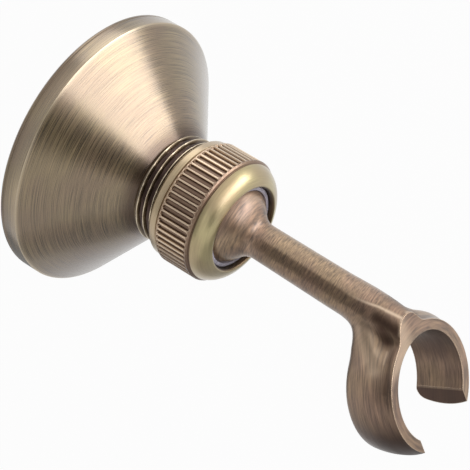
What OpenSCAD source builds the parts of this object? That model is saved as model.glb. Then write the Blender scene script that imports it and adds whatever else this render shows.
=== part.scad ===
// Hand shower holder: conical wall rose, knurled clamping nut, ball-ended arm and C-shaped cradle.
// Millimetres. Origin: centre of the rose's wall face. The wall is the XZ plane, the holder stands out
// along -Y and +Z is up. The arm is drawn leaning as it is shown at rest.

/* [Wall rose] */
// Diameter of the rose at the wall
rose_d = 60; // [50:0.5:75]
// Height of the straight rim at the wall
rim_h = 4.4; // [2:0.1:8]
// Distance from the wall to the foot of the threaded neck
neck_foot = 20.4; // [15:0.1:30]
// Length of the threaded neck
neck_len = 12.6; // [10:0.1:20]
// Wall of the neck, from its bore to the crest of its thread
neck_wall = 2.4; // [1.8:0.1:4]
// Depth of the neck's thread
thread_depth = 0.83; // [0.4:0.01:1.1]
// Level wall of the cone where it covers the fixing plate's corner
cone_corner = 1.4; // [1:0.1:3]
// Wall of the cone over its inner hollow
cone_wall = 2.2; // [1.5:0.1:4]

/* [Fixing plate] */
// Outside diameter of the fixing plate
plate_d = 43.8; // [36:0.1:48]
// Thickness of the fixing plate's floor, where the wall screws clamp
plate_floor = 3; // [2:0.1:5]
// Distance between the two wall screws
screw_spacing = 24; // [16:0.5:30]
// Diameter of the two wall screw holes
screw_hole_d = 5.2; // [4:0.1:6]
// Distance from the fixing plate's front face to the set screw's axis
set_screw_back = 3.4; // [2.5:0.1:4]
// Set screw's thread diameter
set_screw_d = 4; // [3:0.5:5]

/* [Ball joint] */
// Ball diameter
ball_d = 18.6; // [16:0.1:22]
// How far the ball's centre stands out of the neck
ball_proud = 1.3; // [0.5:0.1:3]
// Running clearance between the ball and each seat, on the radius
seat_gap = 0.03; // [0.01:0.01:0.1]
// Thickness of the rear seat behind the ball
rear_seat_h = 2; // [1:0.1:4]
// Thickness of the rubber washer behind the rear seat
washer_h = 1.2; // [0.8:0.1:2]
// Width of the slit in the front seat
slit_w = 1.5; // [0.5:0.1:3]

/* [Nut] */
// Wall of the nut, from its thread to the ridges of the milled grip
nut_wall = 1.8; // [1.2:0.1:4]
// Number of milled grooves round the grip
groove_count = 60; // [40:1:72]
// Depth of each milled groove
groove_depth = 0.55; // [0.2:0.05:0.8]
// Width of each milled groove
groove_w = 1.05; // [0.5:0.05:1.2]
// Length of thread that the nut takes up on the neck
nut_hold = 7.3; // [5:0.1:9]
// Clearance between the nut's mouth and the ball, on the radius
mouth_gap = 0.1; // [0.05:0.05:0.5]
// How far the nut's lip stands in front of the front seat
lip_proud = 1.1; // [0.2:0.1:2]

/* [Arm] */
// Lean of the arm away from the rose's axis, at rest
arm_tilt = 13.1; // [0:0.1:24]
// Direction of the lean's axis round the rose's axis
lean_axis = 32.6; // [-180:0.1:180]
// Turn of the arm about its own length
arm_roll = -3.4; // [-180:0.1:180]
// Arm diameter where it leaves the ball
arm_d_ball = 7.9; // [6:0.1:9]
// Arm diameter where it reaches the cradle
arm_d_cradle = 9; // [7:0.1:11]
// Radius of the hollow between ball and arm
ball_fillet = 3.5; // [1:0.1:6]

/* [Cradle] */
// Bore of the cradle, which takes the tapered end of a hand shower
cradle_bore_d = 22.8; // [20:0.1:26]
// Width of the cradle along its bore
cradle_w = 11.5; // [9:0.1:16]
// Distance from the ball's centre to the cradle's front face, along the arm
arm_len = 46.9; // [40:0.1:80]
// Height of the arm's axis over the cradle's bore at the front face
arm_high = 0.78; // [0:0.01:3]
// Angle between the arm and the cradle's bore
cradle_angle = 36.4; // [20:0.1:60]
// Width of the mouth through which the hose passes
hose_mouth_w = 17.6; // [14:0.1:19]
// Wall of the cradle at its flat front face
cradle_wall = 2.2; // [1.5:0.1:4]
// Extra wall at the crown of the cradle's outside
crown_h = 0.9; // [0.1:0.1:2]
// How far round the cradle each shoulder of the arm reaches
shoulder_turn = 60; // [40:1:90]
// Roundness of the shoulders
shoulder_pull = 6.5; // [4:0.5:12]
// How far the front edge of each shoulder falls back half way along it
shoulder_hollow = 2.4; // [0:0.2:3.5]
// Extra height of the cradle's crown beside the arm
crown_shift = 0.7; // [0:0.1:1.5]
// How far the cradle's rounded back stands behind its bore
back_bulge = 1; // [0.5:0.1:2]
// Radius of the cradle's outer back edge
back_round = 1.8; // [0.5:0.1:2.5]

/* [Hidden] */
fine = 96;
rose_r = rose_d / 2;
spigot_gap = 0.1;
slide_gap = 0.08;
thread_gap = 0.05;
ball_r = ball_d / 2;
seat_r = ball_r + seat_gap;
neck_bore_r = ball_r + 0.3;
thread_r = neck_bore_r + neck_wall;
neck_root_r = thread_r - thread_depth;
cone_k = (rose_r - neck_root_r) / (neck_foot - rim_h);
neck_end = neck_foot + neck_len;
ball_t = neck_end + ball_proud;
plate_r = plate_d / 2;
relief_r = plate_r + spigot_gap;
relief_end = rim_h + (rose_r - relief_r - cone_corner) / cone_k;
plate_h = relief_end - 0.6;
set_screw_t = plate_h - set_screw_back;
plate_groove = 1.4;
sink_h = 1.4;
plate_ring_r = screw_spacing / 2 + screw_hole_d / 2 + sink_h + 0.9;
rear_seat_t = ball_t - seat_r - rear_seat_h;
floor_t = rear_seat_t - washer_h;
floor_h = 2;
lip_share = 0.888;
front_spigot_end = ball_t + seat_r * sqrt(1 - lip_share ^ 2) + 0.6;
nut_rear = neck_end - nut_hold;
nut_front = front_spigot_end + lip_proud;
nose_h = 3.3;
nose_arc_r = 4.9;
nut_shoulder = nut_front - nose_h;
nut_thread_end = neck_end + 0.3;
nut_room_r = thread_r - 0.9;
mouth_r = ball_r + mouth_gap;
grip_r = thread_r + nut_wall;
grip_start = nut_rear + nut_hold * 0.3425;
grip_end = nut_shoulder - 0.3;
front_seat_r = nut_room_r - slide_gap;
front_spigot_r = mouth_r - slide_gap;
front_seat_rear = neck_end + 0.6;
bore_r = cradle_bore_d / 2;
cradle_drop = (bore_r + arm_high) * cos(cradle_angle);
cradle_along = arm_len + cradle_drop * tan(cradle_angle);
blend_run = cradle_w * 1.113;
blend_root = arm_len - blend_run;
shoulder_root = blend_root - 1.5;
shoulder_r = 3.5;
limb_half = 1.25;
crown_r = bore_r + cradle_wall + crown_h;
crown_turn = 48;
swell_r = 4.2;

// Points of an arc in the plane of a turned profile
function arc(cx, cy, r, a0, a1, n) =
    [for (i = [0:n]) [cx + r * cos(a0 + (a1 - a0) * i / n), cy + r * sin(a0 + (a1 - a0) * i / n)]];

// Local +Z runs out from the wall along -Y, local +Y is up
module out(t = 0) rotate([90, 0, 0]) translate([0, 0, t]) children();

// Local +Z runs along the arm from the ball's centre
module along_arm()
    out(ball_t) rotate(a = arm_tilt, v = [cos(lean_axis), sin(lean_axis), 0]) rotate([0, 0, arm_roll])
        children();

// Local +Z is the cradle's bore, with the flat front face at z = 0 and the mouth towards -Y
module at_cradle()
    translate([0, -cradle_drop, cradle_along]) rotate([-cradle_angle, 0, 0]) children();

module turned(points, n = fine) rotate_extrude($fn = n) polygon(points);

// Fixing plate: a shallow cup with a V groove for the set screw's point
module wall_plate() {
    groove = plate_groove;
    color([0.72, 0.70, 0.66]) difference() {
        out() turned([[0, 0], [plate_r - 0.4, 0], [plate_r, 0.4], [plate_r, set_screw_t - groove],
                      [plate_r - groove, set_screw_t], [plate_r, set_screw_t + groove],
                      [plate_r, plate_h - 0.4], [plate_r - 0.4, plate_h], [plate_ring_r, plate_h],
                      [plate_ring_r, plate_floor], [0, plate_floor]]);
        for (x = [-screw_spacing / 2, screw_spacing / 2]) translate([x, 0, 0]) {
            out(-1) cylinder(h = plate_h, d = screw_hole_d, $fn = 48);
            out(plate_floor - sink_h)
                cylinder(h = sink_h, d1 = screw_hole_d, d2 = screw_hole_d + 2 * sink_h, $fn = 48);
            out(plate_floor) cylinder(h = plate_h, d = screw_hole_d + 2 * sink_h, $fn = 48);
        }
    }
}

// Wall rose, turned from one piece, with the threaded neck drawn at its crest diameter
module flange_cone() {
    hollow_end = min(floor_t - floor_h, neck_foot - 0.6);
    hollow_r = rose_r - (hollow_end - rim_h) * cone_k - cone_wall * norm([1, cone_k]);
    color([0.62, 0.52, 0.36]) difference() {
        out() turned(concat(
            [[relief_r, 0], [rose_r - 0.5, 0], [rose_r, 0.6], [rose_r, rim_h - 0.1], [rose_r - 0.1, rim_h],
             [neck_root_r, neck_foot], [neck_root_r, neck_foot + 0.25], [thread_r, neck_foot + 0.7],
             [thread_r, neck_end - 0.9], [thread_r - 0.9, neck_end], [neck_bore_r + 0.2, neck_end],
             [neck_bore_r, neck_end - 0.2], [neck_bore_r, floor_t], [0, floor_t], [0, hollow_end],
             [hollow_r, hollow_end], [relief_r - 0.8, relief_end], [relief_r, relief_end]]));
        // Tapped hole for the set screw on the underside
        out(set_screw_t) rotate([90, 0, 0]) translate([0, 0, relief_r - 1])
            cylinder(h = rose_r, d = set_screw_d + 0.1, $fn = 32);
    }
}

// Hexagon socket set screw with a cone point, its point in the plate's groove
module set_screw() {
    tip = plate_r - plate_groove + 0.28;
    end = rose_r - (set_screw_t + set_screw_d / 2 - rim_h) * cone_k - 0.3;
    r = set_screw_d / 2;
    color([0.30, 0.29, 0.28]) out(set_screw_t) rotate([90, 0, 0]) difference() {
        turned([[0, tip], [0.25, tip], [r, tip + r - 0.25], [r, end - 0.3], [r - 0.3, end], [0, end]], 32);
        translate([0, 0, end - 2]) cylinder(h = 3, d = set_screw_d * 0.577, $fn = 6);
    }
}

module seat_washer()
    color([0.12, 0.12, 0.12]) out(floor_t) turned([[4, 0], [neck_bore_r - 0.3, 0],
        [neck_bore_r - 0.3, washer_h], [4, washer_h]], 64);

// Plastic cup behind the ball
module rear_seat() {
    hole_r = 4;
    outer_r = neck_bore_r - slide_gap;
    front = ball_t - seat_r * 0.365;
    a0 = asin(hole_r / seat_r);
    a1 = acos((ball_t - front) / seat_r);
    color([0.80, 0.79, 0.76]) out() turned(concat(
        [[outer_r, front], [outer_r, rear_seat_t + 0.4], [outer_r - 0.4, rear_seat_t], [hole_r, rear_seat_t]],
        [for (i = [0:14]) let (a = a0 + (a1 - a0) * i / 14) [seat_r * sin(a), ball_t - seat_r * cos(a)]]));
}

// Split plastic ring in front of the ball: a flange inside the nut and a spigot that fills its mouth
module front_seat() {
    lip_r = seat_r * lip_share;
    a1 = asin(lip_share);
    color([0.66, 0.65, 0.66]) difference() {
        out() turned(concat(
            [[seat_r, front_seat_rear], [front_seat_r - 0.3, front_seat_rear],
             [front_seat_r, front_seat_rear + 0.3], [front_seat_r, nut_shoulder - 0.05],
             [front_spigot_r, nut_shoulder - 0.05], [front_spigot_r, front_spigot_end - 0.3],
             [front_spigot_r - 0.3, front_spigot_end], [lip_r + 0.1, front_spigot_end]],
            [for (i = [0:10]) let (a = a1 + (90 - a1) * i / 10)
                [seat_r * sin(a), ball_t + seat_r * cos(a)]]));
        out() rotate([0, 0, -52]) translate([seat_r * 0.6, -slit_w / 2, front_seat_rear - 1])
            cube([seat_r, slit_w, nut_front]);
    }
}

// Clamping nut: rear collar, milled grip and a rounded nose, all one piece
module knurled_nut() {
    collar_r = grip_r - 0.5;
    nose_r0 = grip_r - 0.5;
    nose_t0 = nut_shoulder + 0.15;
    lip_r = mouth_r + 0.45;
    chord = norm([nose_r0 - lip_r, nut_front - nose_t0]);
    mid = atan2(nose_r0 - lip_r, nut_front - nose_t0);
    half = asin(chord / 2 / nose_arc_r);
    cx = (nose_r0 + lip_r) / 2 - sqrt(nose_arc_r ^ 2 - (chord / 2) ^ 2) * cos(mid);
    cy = (nut_front + nose_t0) / 2 - sqrt(nose_arc_r ^ 2 - (chord / 2) ^ 2) * sin(mid);
    color([0.74, 0.62, 0.36]) out() rotate([0, 0, 180 / groove_count]) difference() {
        turned(concat(
            [[thread_r + thread_gap + 0.4, nut_rear], [collar_r - 0.7, nut_rear], [collar_r, nut_rear + 0.6],
             [collar_r, grip_start - 0.45], [collar_r - 0.35, grip_start - 0.25], [grip_r - 0.35, grip_start],
             [grip_r, grip_start + 0.3], [grip_r, grip_end - 0.35], [grip_r - 0.35, grip_end],
             [nose_r0 - 0.45, grip_end + 0.1], [nose_r0 - 0.45, nose_t0 - 0.15]],
            arc(cx, cy, nose_arc_r, mid - half, mid + half, 12),
            arc(lip_r, nut_front - 0.45, 0.45, 90, 180, 4),
            [[mouth_r, nut_shoulder], [nut_room_r, nut_shoulder], [nut_room_r, nut_thread_end],
             [thread_r + thread_gap, nut_thread_end], [thread_r + thread_gap, nut_rear + 0.4]]), 120);
        for (i = [0:groove_count - 1]) rotate([0, 0, i * 360 / groove_count]) milled_groove();
    }
}

// One axial groove with rounded ends, cut by a small end mill
module milled_groove() {
    half = groove_w / 2;
    first = grip_start + 0.35 + half;
    last = grip_end - 0.42 - half;
    translate([grip_r - groove_depth, 0, 0]) rotate([0, 90, 0]) linear_extrude(2)
        polygon(concat(arc(-first, 0, half, -90, 90, 6), arc(-last, 0, half, 90, 270, 6)));
}

// Ball, arm and cradle: one forging, faced flat at the front and milled open for the hose
module ball_arm() {
    reach = 3 * bore_r;
    color([0.55, 0.45, 0.34]) along_arm() difference() {
        union() {
            ball_and_shank();
            at_cradle() {
                cradle_ring();
                shoulder(-1);
                shoulder(1);
            }
        }
        at_cradle() {
            translate([0, 0, -reach]) cylinder(h = 2 * reach, r = bore_r, $fn = 128);
            translate([-reach, -reach, 0]) cube([2 * reach, 2 * reach, reach]);
            translate([-hose_mouth_w / 2, -reach, -cradle_w * 2]) cube([hose_mouth_w, reach, cradle_w * 4]);
        }
    }
}

// The shank swells gently and rounds off where it meets the cradle's front face
module ball_and_shank() {
    r0 = arm_d_ball / 2;
    r1 = arm_d_cradle / 2;
    f = ball_fillet;
    zf = sqrt((ball_r + f) ^ 2 - (r0 + f) ^ 2);
    a = atan2(r0 + f, zf);
    z1 = blend_root;
    turned(concat(
        arc(0, 0, ball_r, -90, 90 - a, 28),
        arc(r0 + f, zf, f, 270 - a, 180, 8),
        [[r0 + 0.15, zf + 0.55 * (z1 - zf)], [r0 * 0.55 + r1 * 0.45, zf + 0.8 * (z1 - zf)], [r1 - 0.05, z1],
         [r1, z1 + 0.15 * blend_run], [r1 - 0.05, z1 + 0.4 * blend_run], [r1 - 0.3, z1 + 0.7 * blend_run],
         [r1 - 0.5, z1 + 1.9 * blend_run], [0, z1 + 1.9 * blend_run]]), fine);
}

// D-shaped section: straight bore, crowned outside, rounded back edge
module cradle_ring() {
    back = -cradle_w;
    z0 = back / 2;
    rc = (z0 ^ 2 + crown_h ^ 2) / (2 * crown_h);
    a0 = asin(-z0 / rc);
    a1 = asin((back - back_bulge + back_round - z0) / rc);
    turned(concat(
        [[bore_r - 1, back], [bore_r - 1, 1], [bore_r + cradle_wall, 1]],
        arc(crown_r - rc, z0, rc, a0, a1, 14),
        arc(crown_r - rc + (rc - back_round) * cos(a1), back - back_bulge + back_round * (1 - sin(a1)),
            back_round, a1, -90, 8),
        [[bore_r + 0.35, back - 0.4 * back_bulge], [bore_r, back]]), 128);
    // The crown stands higher beside the arm
    translate(crown_shift * [sin(crown_turn), cos(crown_turn), 0]) turned(concat(
        [[bore_r - 2, z0 - swell_r * 0.7], [bore_r - 2, z0 + swell_r]],
        arc(crown_r - swell_r, z0 + swell_r * 0.28, swell_r, 56, -56, 10)), 96);
}

// One of the two shoulders that carry the arm into the limbs of the cradle, lofted along a curved spine
module shoulder(side) {
    ns = 14;
    np = 28;
    sa = sin(cradle_angle);
    ca = cos(cradle_angle);
    dir = [0, -sa, ca];
    limb = shoulder_turn;
    rm = bore_r + limb_half + 0.2;
    mid = -cradle_w / 2 - 0.15;
    s0 = shoulder_root;
    p0 = [0, cradle_drop * ca - (s0 - cradle_along) * sa, cradle_drop * sa + (s0 - cradle_along) * ca];
    p3 = [side * rm * sin(limb), rm * cos(limb), mid];
    p1 = p0 + shoulder_pull * dir;
    p2 = p3 - shoulder_pull * [side * cos(limb), -sin(limb), 0];
    rings = [for (i = [0:ns]) let (t = i / ns, u = 1 - t,
            c = u ^ 3 * p0 + 3 * u ^ 2 * t * p1 + 3 * u * t ^ 2 * p2 + t ^ 3 * p3,
            d = 3 * u ^ 2 * (p1 - p0) + 6 * u * t * (p2 - p1) + 3 * t ^ 2 * (p3 - p2),
            tn = d / norm(d), ax0 = [0, 0, 1] - tn[2] * tn, ax = ax0 / norm(ax0), bn = cross(tn, ax),
            e = t * t * (3 - 2 * t), back = shoulder_hollow * sin(180 * t) ^ 2 / 2,
            ra = shoulder_r * (1 - e) + (cradle_w / 2 - 0.1) * e - back,
            rb = shoulder_r * (1 - e) + limb_half * e + 0.3 * sin(180 * t))
        [for (j = [0:np - 1]) let (q = 360 * j / np) c + (ra * cos(q) - back) * ax + rb * sin(q) * bn]];
    points = [for (r = rings) each r];
    faces = concat(
        [for (i = [0:ns - 1], j = [0:np - 1]) let (k = (j + 1) % np)
            each [[i * np + j, (i + 1) * np + j, i * np + k],
                  [i * np + k, (i + 1) * np + j, (i + 1) * np + k]]],
        [[for (j = [0:np - 1]) j]],
        [[for (j = [np - 1:-1:0]) ns * np + j]]);
    polyhedron(points, faces);
}

wall_plate();
flange_cone();
set_screw();
seat_washer();
rear_seat();
front_seat();
knurled_nut();
ball_arm();
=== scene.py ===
# %% [markdown]
# # A hand shower holder in brushed antique brass
#
# The object is a wall holder for a hand shower: a conical rose on the wall, a short threaded neck,
# a knurled clamping nut, and an arm with a ball at one end and a C-shaped cradle at the other.
# The exact sizes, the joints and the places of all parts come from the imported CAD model. This
# notebook adds what CAD leaves out: turned thread, softened edges, brushed metal and light.

import math

import bmesh
import bpy
import numpy as np
from mathutils import Matrix, Vector


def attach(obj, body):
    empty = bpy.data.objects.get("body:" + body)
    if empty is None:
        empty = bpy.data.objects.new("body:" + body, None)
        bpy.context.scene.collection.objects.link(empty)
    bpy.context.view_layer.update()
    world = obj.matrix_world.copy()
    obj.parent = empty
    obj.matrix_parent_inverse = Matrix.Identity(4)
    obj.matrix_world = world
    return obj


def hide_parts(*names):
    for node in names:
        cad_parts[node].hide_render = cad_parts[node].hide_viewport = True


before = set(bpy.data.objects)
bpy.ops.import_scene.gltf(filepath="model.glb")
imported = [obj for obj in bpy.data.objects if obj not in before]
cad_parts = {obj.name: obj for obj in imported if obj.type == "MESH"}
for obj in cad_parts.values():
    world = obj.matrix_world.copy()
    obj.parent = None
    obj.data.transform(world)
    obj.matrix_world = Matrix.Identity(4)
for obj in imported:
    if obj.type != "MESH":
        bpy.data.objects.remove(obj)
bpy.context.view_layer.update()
print("CAD nodes:", ", ".join(sorted(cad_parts)))

# %% [markdown]
# ## The camera
#
# The photograph was taken with a long lens from the upper left. Circles of the rose, the nut and the
# cradle were fitted to their outlines in the picture, which gave the direction, the distance and the
# focal length. A long lens flattens the perspective, so the value matters for the rose's ellipse.

# %% Camera at the photograph's angle
IMAGE_SIZE = 470
AZIMUTH, ELEVATION = -49.196, 43.985
FOCAL_PX = 2250
DISTANCE = 0.478188
AIM_RIGHT, AIM_UP = 0.028674, -0.019437

a, e = math.radians(AZIMUTH), math.radians(ELEVATION)
back = Vector((math.sin(a) * math.cos(e), -math.cos(a) * math.cos(e), math.sin(e)))
right = Vector((math.cos(a), math.sin(a), 0))
up = back.cross(right)
camera = bpy.data.objects.new("camera", bpy.data.cameras.new("camera"))
bpy.context.scene.collection.objects.link(camera)
camera.data.sensor_width = 36
camera.data.lens = FOCAL_PX / IMAGE_SIZE * 36
camera.data.clip_start, camera.data.clip_end = 0.05, 50
camera.matrix_world = Matrix.Translation(back * DISTANCE + right * AIM_RIGHT + up * AIM_UP) @ Matrix(
    (right, up, back)).transposed().to_4x4()
bpy.context.scene.camera = camera
print("lens", round(camera.data.lens, 1), "mm")

# %% [markdown]
# ## Numbers shared with the CAD part
#
# The scene can't read the CAD source, so the few sizes that its own meshes need are repeated here, in
# millimetres. t is the distance out from the wall. Each mesh is built in millimetres and scaled to
# metres when it is finished.

# %% Sizes in millimetres
MM = 0.001
ROSE_R, RIM_H, NECK_FOOT, NECK_ROOT_R, NECK_END = 30.0, 4.4, 20.4, 11.17, 33.0
THREAD_R, THREAD_PITCH = 12.0, 1.8
NECK_BORE_R, FLOOR_T, HOLLOW_END = 9.6, 21.77, 19.77
RELIEF_R, RELIEF_END = 22.0, 10.008
SCREW_T, SCREW_HOLE_R = 6.008, 2.05
NUT_REAR, NUT_FRONT, NUT_SHOULDER, NUT_ROOM_R = 25.7, 40.29, 36.99, 11.1
GRIP_R, GRIP_START, GRIP_END = 13.8, 28.2, 36.69
GROOVES, GROOVE_W, GROOVE_DEPTH = 60, 1.05, 0.55
MOUTH_R = 9.4
BALL_R, BALL_T = 9.3, 34.3
ARM_TILT, LEAN_AXIS, ARM_ROLL, ARM_LEN, ARM_HIGH = 13.1, 32.6, -3.4, 46.9, 0.78
ARM_R_BALL, ARM_R_CRADLE, BALL_FILLET = 3.95, 4.5, 3.5
BORE_R, CRADLE_W, CRADLE_ANGLE, CRADLE_WALL, CROWN_H, MOUTH_W = 11.4, 11.5, 36.4, 2.2, 0.9, 17.6
BACK_BULGE, BACK_ROUND = 1.0, 1.8
SHOULDER_TURN, SHOULDER_PULL, SHOULDER_HOLLOW, CROWN_SHIFT = 60, 6.5, 2.4, 0.7

# %% [markdown]
# ## Turned pieces
#
# A lathe makes a shape by moving a tool along a profile while the work turns. The same idea makes the
# mesh: a list of points (radius, t) is swept round the axis. Real turned edges are never perfectly
# sharp, so each profile point may carry a small rounding radius, which catches a fine line of light.

# %% Profile with rounded corners
def rounded(points, steps=4):
    """(r, t) or (r, t, radius) points; corners that have a radius become small arcs."""
    out = []
    for i, point in enumerate(points):
        here = np.array(point[:2], float)
        size = point[2] if len(point) > 2 else 0
        if size == 0 or i in (0, len(points) - 1):
            out.append(tuple(here))
            continue
        before = np.array(points[i - 1][:2], float) - here
        after = np.array(points[i + 1][:2], float) - here
        before_len, after_len = np.linalg.norm(before), np.linalg.norm(after)
        before, after = before / before_len, after / after_len
        half = math.acos(max(-1, min(1, before @ after))) / 2
        reach = min(size / math.tan(half), before_len * 0.49, after_len * 0.49)
        start, end = here + before * reach, here + after * reach
        for k in range(steps + 1):
            u = k / steps
            out.append(tuple((1 - u) ** 2 * start + 2 * u * (1 - u) * here + u * u * end))
    return out


def steps(values, low, high):
    """0 below low, 1 above high and smooth between them, for numbers or arrays."""
    share = np.clip((values - low) / (high - low), 0, 1)
    return share * share * (3 - 2 * share)


def turned_piece(name, rows, columns, shape=None):
    """Sweeps rows of (r, t) round the axis. shape(r, t, angle) may change r and return two tints."""
    angles = np.asarray(columns if np.ndim(columns) else np.arange(columns) * math.tau / columns)
    n = len(angles)
    vertices, faces, hollow, wear_and_highlight = [], [], [], []
    starts = []
    for r, t in rows:
        starts.append(len(vertices))
        if r == 0:
            vertices.append((0, -t, 0))
            hollow.append(0)
            wear_and_highlight.append(0)
            continue
        radius, deep, bright = np.full(n, r), np.zeros(n), np.zeros(n)
        if shape:
            radius, deep, bright = shape(r, t, angles)
        vertices += list(zip(radius * np.cos(angles), np.full(n, -t), radius * np.sin(angles)))
        hollow += list(deep)
        wear_and_highlight += list(bright)
    open_ends = rows[0][0] == 0
    for i in range(len(rows) - (1 if open_ends else 0)):
        j = (i + 1) % len(rows)
        p, q = starts[i], starts[j]
        for k in range(n):
            m = (k + 1) % n
            if rows[i][0] == 0:
                faces.append((p, q + m, q + k))
            elif rows[j][0] == 0:
                faces.append((p + k, p + m, q))
            else:
                faces.append((p + k, p + m, q + m, q + k))
    mesh = bpy.data.meshes.new(name)
    mesh.from_pydata(vertices, [], faces)
    # Two tints go with each point: a darkening, partly painted shade and partly patina, and a lightening, partly
    # painted highlight and partly wear.
    for label, values in (("hollow", hollow), ("wear_and_highlight", wear_and_highlight)):
        layer = mesh.attributes.new(label, "FLOAT", "POINT")
        layer.data.foreach_set("value", np.array(values, np.float32))
    return finish_piece(name, mesh)


def finish_piece(name, mesh, sharp=32):
    """Outward normals, smooth shading with crisp edges, and the step from millimetres to metres."""
    work = bmesh.new()
    work.from_mesh(mesh)
    bmesh.ops.recalc_face_normals(work, faces=work.faces)
    work.to_mesh(mesh)
    work.free()
    mesh.transform(Matrix.Scale(MM, 4))
    mesh.shade_smooth()
    mesh.set_sharp_from_angle(angle=math.radians(sharp))
    piece = bpy.data.objects.new(name, mesh)
    bpy.context.scene.collection.objects.link(piece)
    triangles = sum(len(p.vertices) - 2 for p in mesh.polygons)
    print(name, "has", triangles, "triangles")
    return piece


def settle(piece):
    """Turns the modifiers of a piece into its plain mesh."""
    graph = bpy.context.evaluated_depsgraph_get()
    mesh = bpy.data.meshes.new_from_object(piece.evaluated_get(graph))
    piece.modifiers.clear()
    piece.data = mesh
    return piece


# %% [markdown]
# ## The wall rose with its threaded neck
#
# The rose is one turned piece: a short rim against the wall, a straight cone, and a neck that carries
# the nut's thread. In CAD the thread is a plain cylinder. Here the neck's radius follows a real
# right-hand helix: the crest moves outward by one pitch for each turn, so only the radius of each
# mesh point changes and the mesh stays closed. The crests carry a painted highlight and the roots
# painted shade. The cone's lower side gets painted shade, the cone next to the neck patina and
# painted shade, and a painted highlight runs along the rim's edge.

# %% Helix on the neck
THREAD_START = NECK_FOOT + 0.05
THREAD_PHASE = NECK_FOOT + 0.75 - THREAD_PITCH * 128 / 360


def thread_shape(r, t, angles):
    radius = np.full(len(angles), float(r))
    deep, bright = np.zeros(len(angles)), np.zeros(len(angles))
    if THREAD_START <= t <= NECK_END - 1.0 and r > NECK_ROOT_R - 0.2:
        turns = (t - THREAD_PHASE) / THREAD_PITCH - angles / math.tau
        off = np.abs(turns - np.round(turns)) * THREAD_PITCH
        flank = 0.8 * steps(off, 0.08, 0.42) + 0.2 * np.clip(off / 0.9, 0, 1)
        fade = min(1, (t - THREAD_START) / 0.5)
        crest = NECK_ROOT_R - 0.05 + (THREAD_R - NECK_ROOT_R + 0.03) * (1 - flank)
        radius = NECK_ROOT_R + (crest - NECK_ROOT_R) * fade
        # Painted shade darkens the thread roots, and a painted highlight lines the crests all the way round.
        deep = flank * fade + (1 - fade) * 0.6
        bright = np.exp(-(off / 0.13) ** 2) * fade
    elif t < THREAD_START and r > NECK_ROOT_R:
        # Painted shade: the lower side of the cone and rim is darker.
        under = 0.6 * steps(-np.sin(angles), 0, 0.85)
        side = 0.3 * steps(t, RIM_H - 0.2, RIM_H - 0.5) + 0.2 * np.exp(-((t - RIM_H + 0.45) / 0.2) ** 2)
        # Next to the neck the cone darkens, as patina and as painted shade under the nut.
        deep = np.maximum(0.75 * steps(t, NECK_FOOT - 3.2, NECK_FOOT - 0.2), np.maximum(under, side))
        # A painted highlight runs along the edge where the rim meets the cone.
        bright[:] = 0.45 * np.exp(-((t - RIM_H - 0.1) / 0.2) ** 2)
    return radius, deep, bright


# %% Rose mesh
CONE_K = (ROSE_R - NECK_ROOT_R) / (NECK_FOOT - RIM_H)
HOLLOW_R = ROSE_R - (HOLLOW_END - RIM_H) * CONE_K - 3.4
neck_rows = [(NECK_ROOT_R, float(t)) for t in np.arange(THREAD_START, NECK_END - 1.0, 0.1)]
rose_rows = rounded([
    (0, HOLLOW_END), (HOLLOW_R, HOLLOW_END, 1.0), (RELIEF_R - 0.8, RELIEF_END, 0.3),
    (RELIEF_R, RELIEF_END, 0.15), (RELIEF_R, 0, 0.2), (ROSE_R - 0.45, 0, 0.2), (ROSE_R, 0.45, 0.25),
    (ROSE_R, 0.95, 0.04), (ROSE_R - 0.1, 1.08, 0.04), (ROSE_R, 1.21, 0.04), (ROSE_R, RIM_H, 0.22),
    *[(ROSE_R - (t - RIM_H) * CONE_K, t) for t in
      (RIM_H + 0.35, RIM_H + 0.7, *np.linspace(NECK_FOOT - 4.4, NECK_FOOT - 1, 8))],
    (NECK_ROOT_R + 0.25, NECK_FOOT - 0.2, 0.5), (NECK_ROOT_R, NECK_FOOT)])
rose_rows += neck_rows + rounded([
    (THREAD_R - 0.35, NECK_END - 0.9), (THREAD_R - 0.9, NECK_END, 0.1), (NECK_BORE_R + 0.2, NECK_END, 0.1),
    (NECK_BORE_R, NECK_END - 0.25), (NECK_BORE_R, FLOOR_T, 0.2), (0, FLOOR_T)])
rose = turned_piece("wall_rose", rose_rows, 256, thread_shape)

# %% [markdown]
# The set screw's tapped hole is drilled through the underside of the rose into its recess. A boolean
# modifier subtracts a cylinder, and its result is then kept as the mesh.

# %% Tapped hole
def drill(piece, radius, start, end):
    """Subtracts a round hole from start to end, two points in millimetres."""
    start, end = Vector(start) * MM, Vector(end) * MM
    bpy.ops.mesh.primitive_cylinder_add(vertices=48, radius=radius * MM, depth=(end - start).length,
                                        location=(start + end) / 2)
    tool = bpy.context.object
    tool.rotation_mode = "QUATERNION"
    tool.rotation_quaternion = (end - start).to_track_quat("Z", "Y")
    cut = piece.modifiers.new("drill", "BOOLEAN")
    cut.object, cut.operation, cut.solver = tool, "DIFFERENCE", "EXACT"
    bpy.context.view_layer.update()
    settle(piece)
    bpy.data.objects.remove(tool)
    piece.data.shade_smooth()
    piece.data.set_sharp_from_angle(angle=math.radians(32))
    return piece


drill(rose, SCREW_HOLE_R, (0, -SCREW_T, -20.9), (0, -SCREW_T, -32))
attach(rose, "base")
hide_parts("flange_cone")
print("rose polygons after drilling:", len(rose.data.polygons))

# %% [markdown]
# ## The clamping nut
#
# The nut is turned, then a small end mill cuts sixty round-ended slots for the fingers. Booleans on
# sixty slots are slow and leave long thin faces, so the slots are pressed into a fine grid instead:
# each grid point asks how far it lies inside the nearest slot and sinks by that amount. Extra columns
# stand at the slot walls, where the surface turns.

# %% Slots of the nut
SLOT_FIRST, SLOT_LAST = GRIP_START + 0.35 + GROOVE_W / 2, GRIP_END - 0.42 - GROOVE_W / 2
LIP_R, NOSE_R0, NOSE_T0 = MOUTH_R + 0.45, GRIP_R - 0.5, NUT_SHOULDER + 0.15


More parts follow.
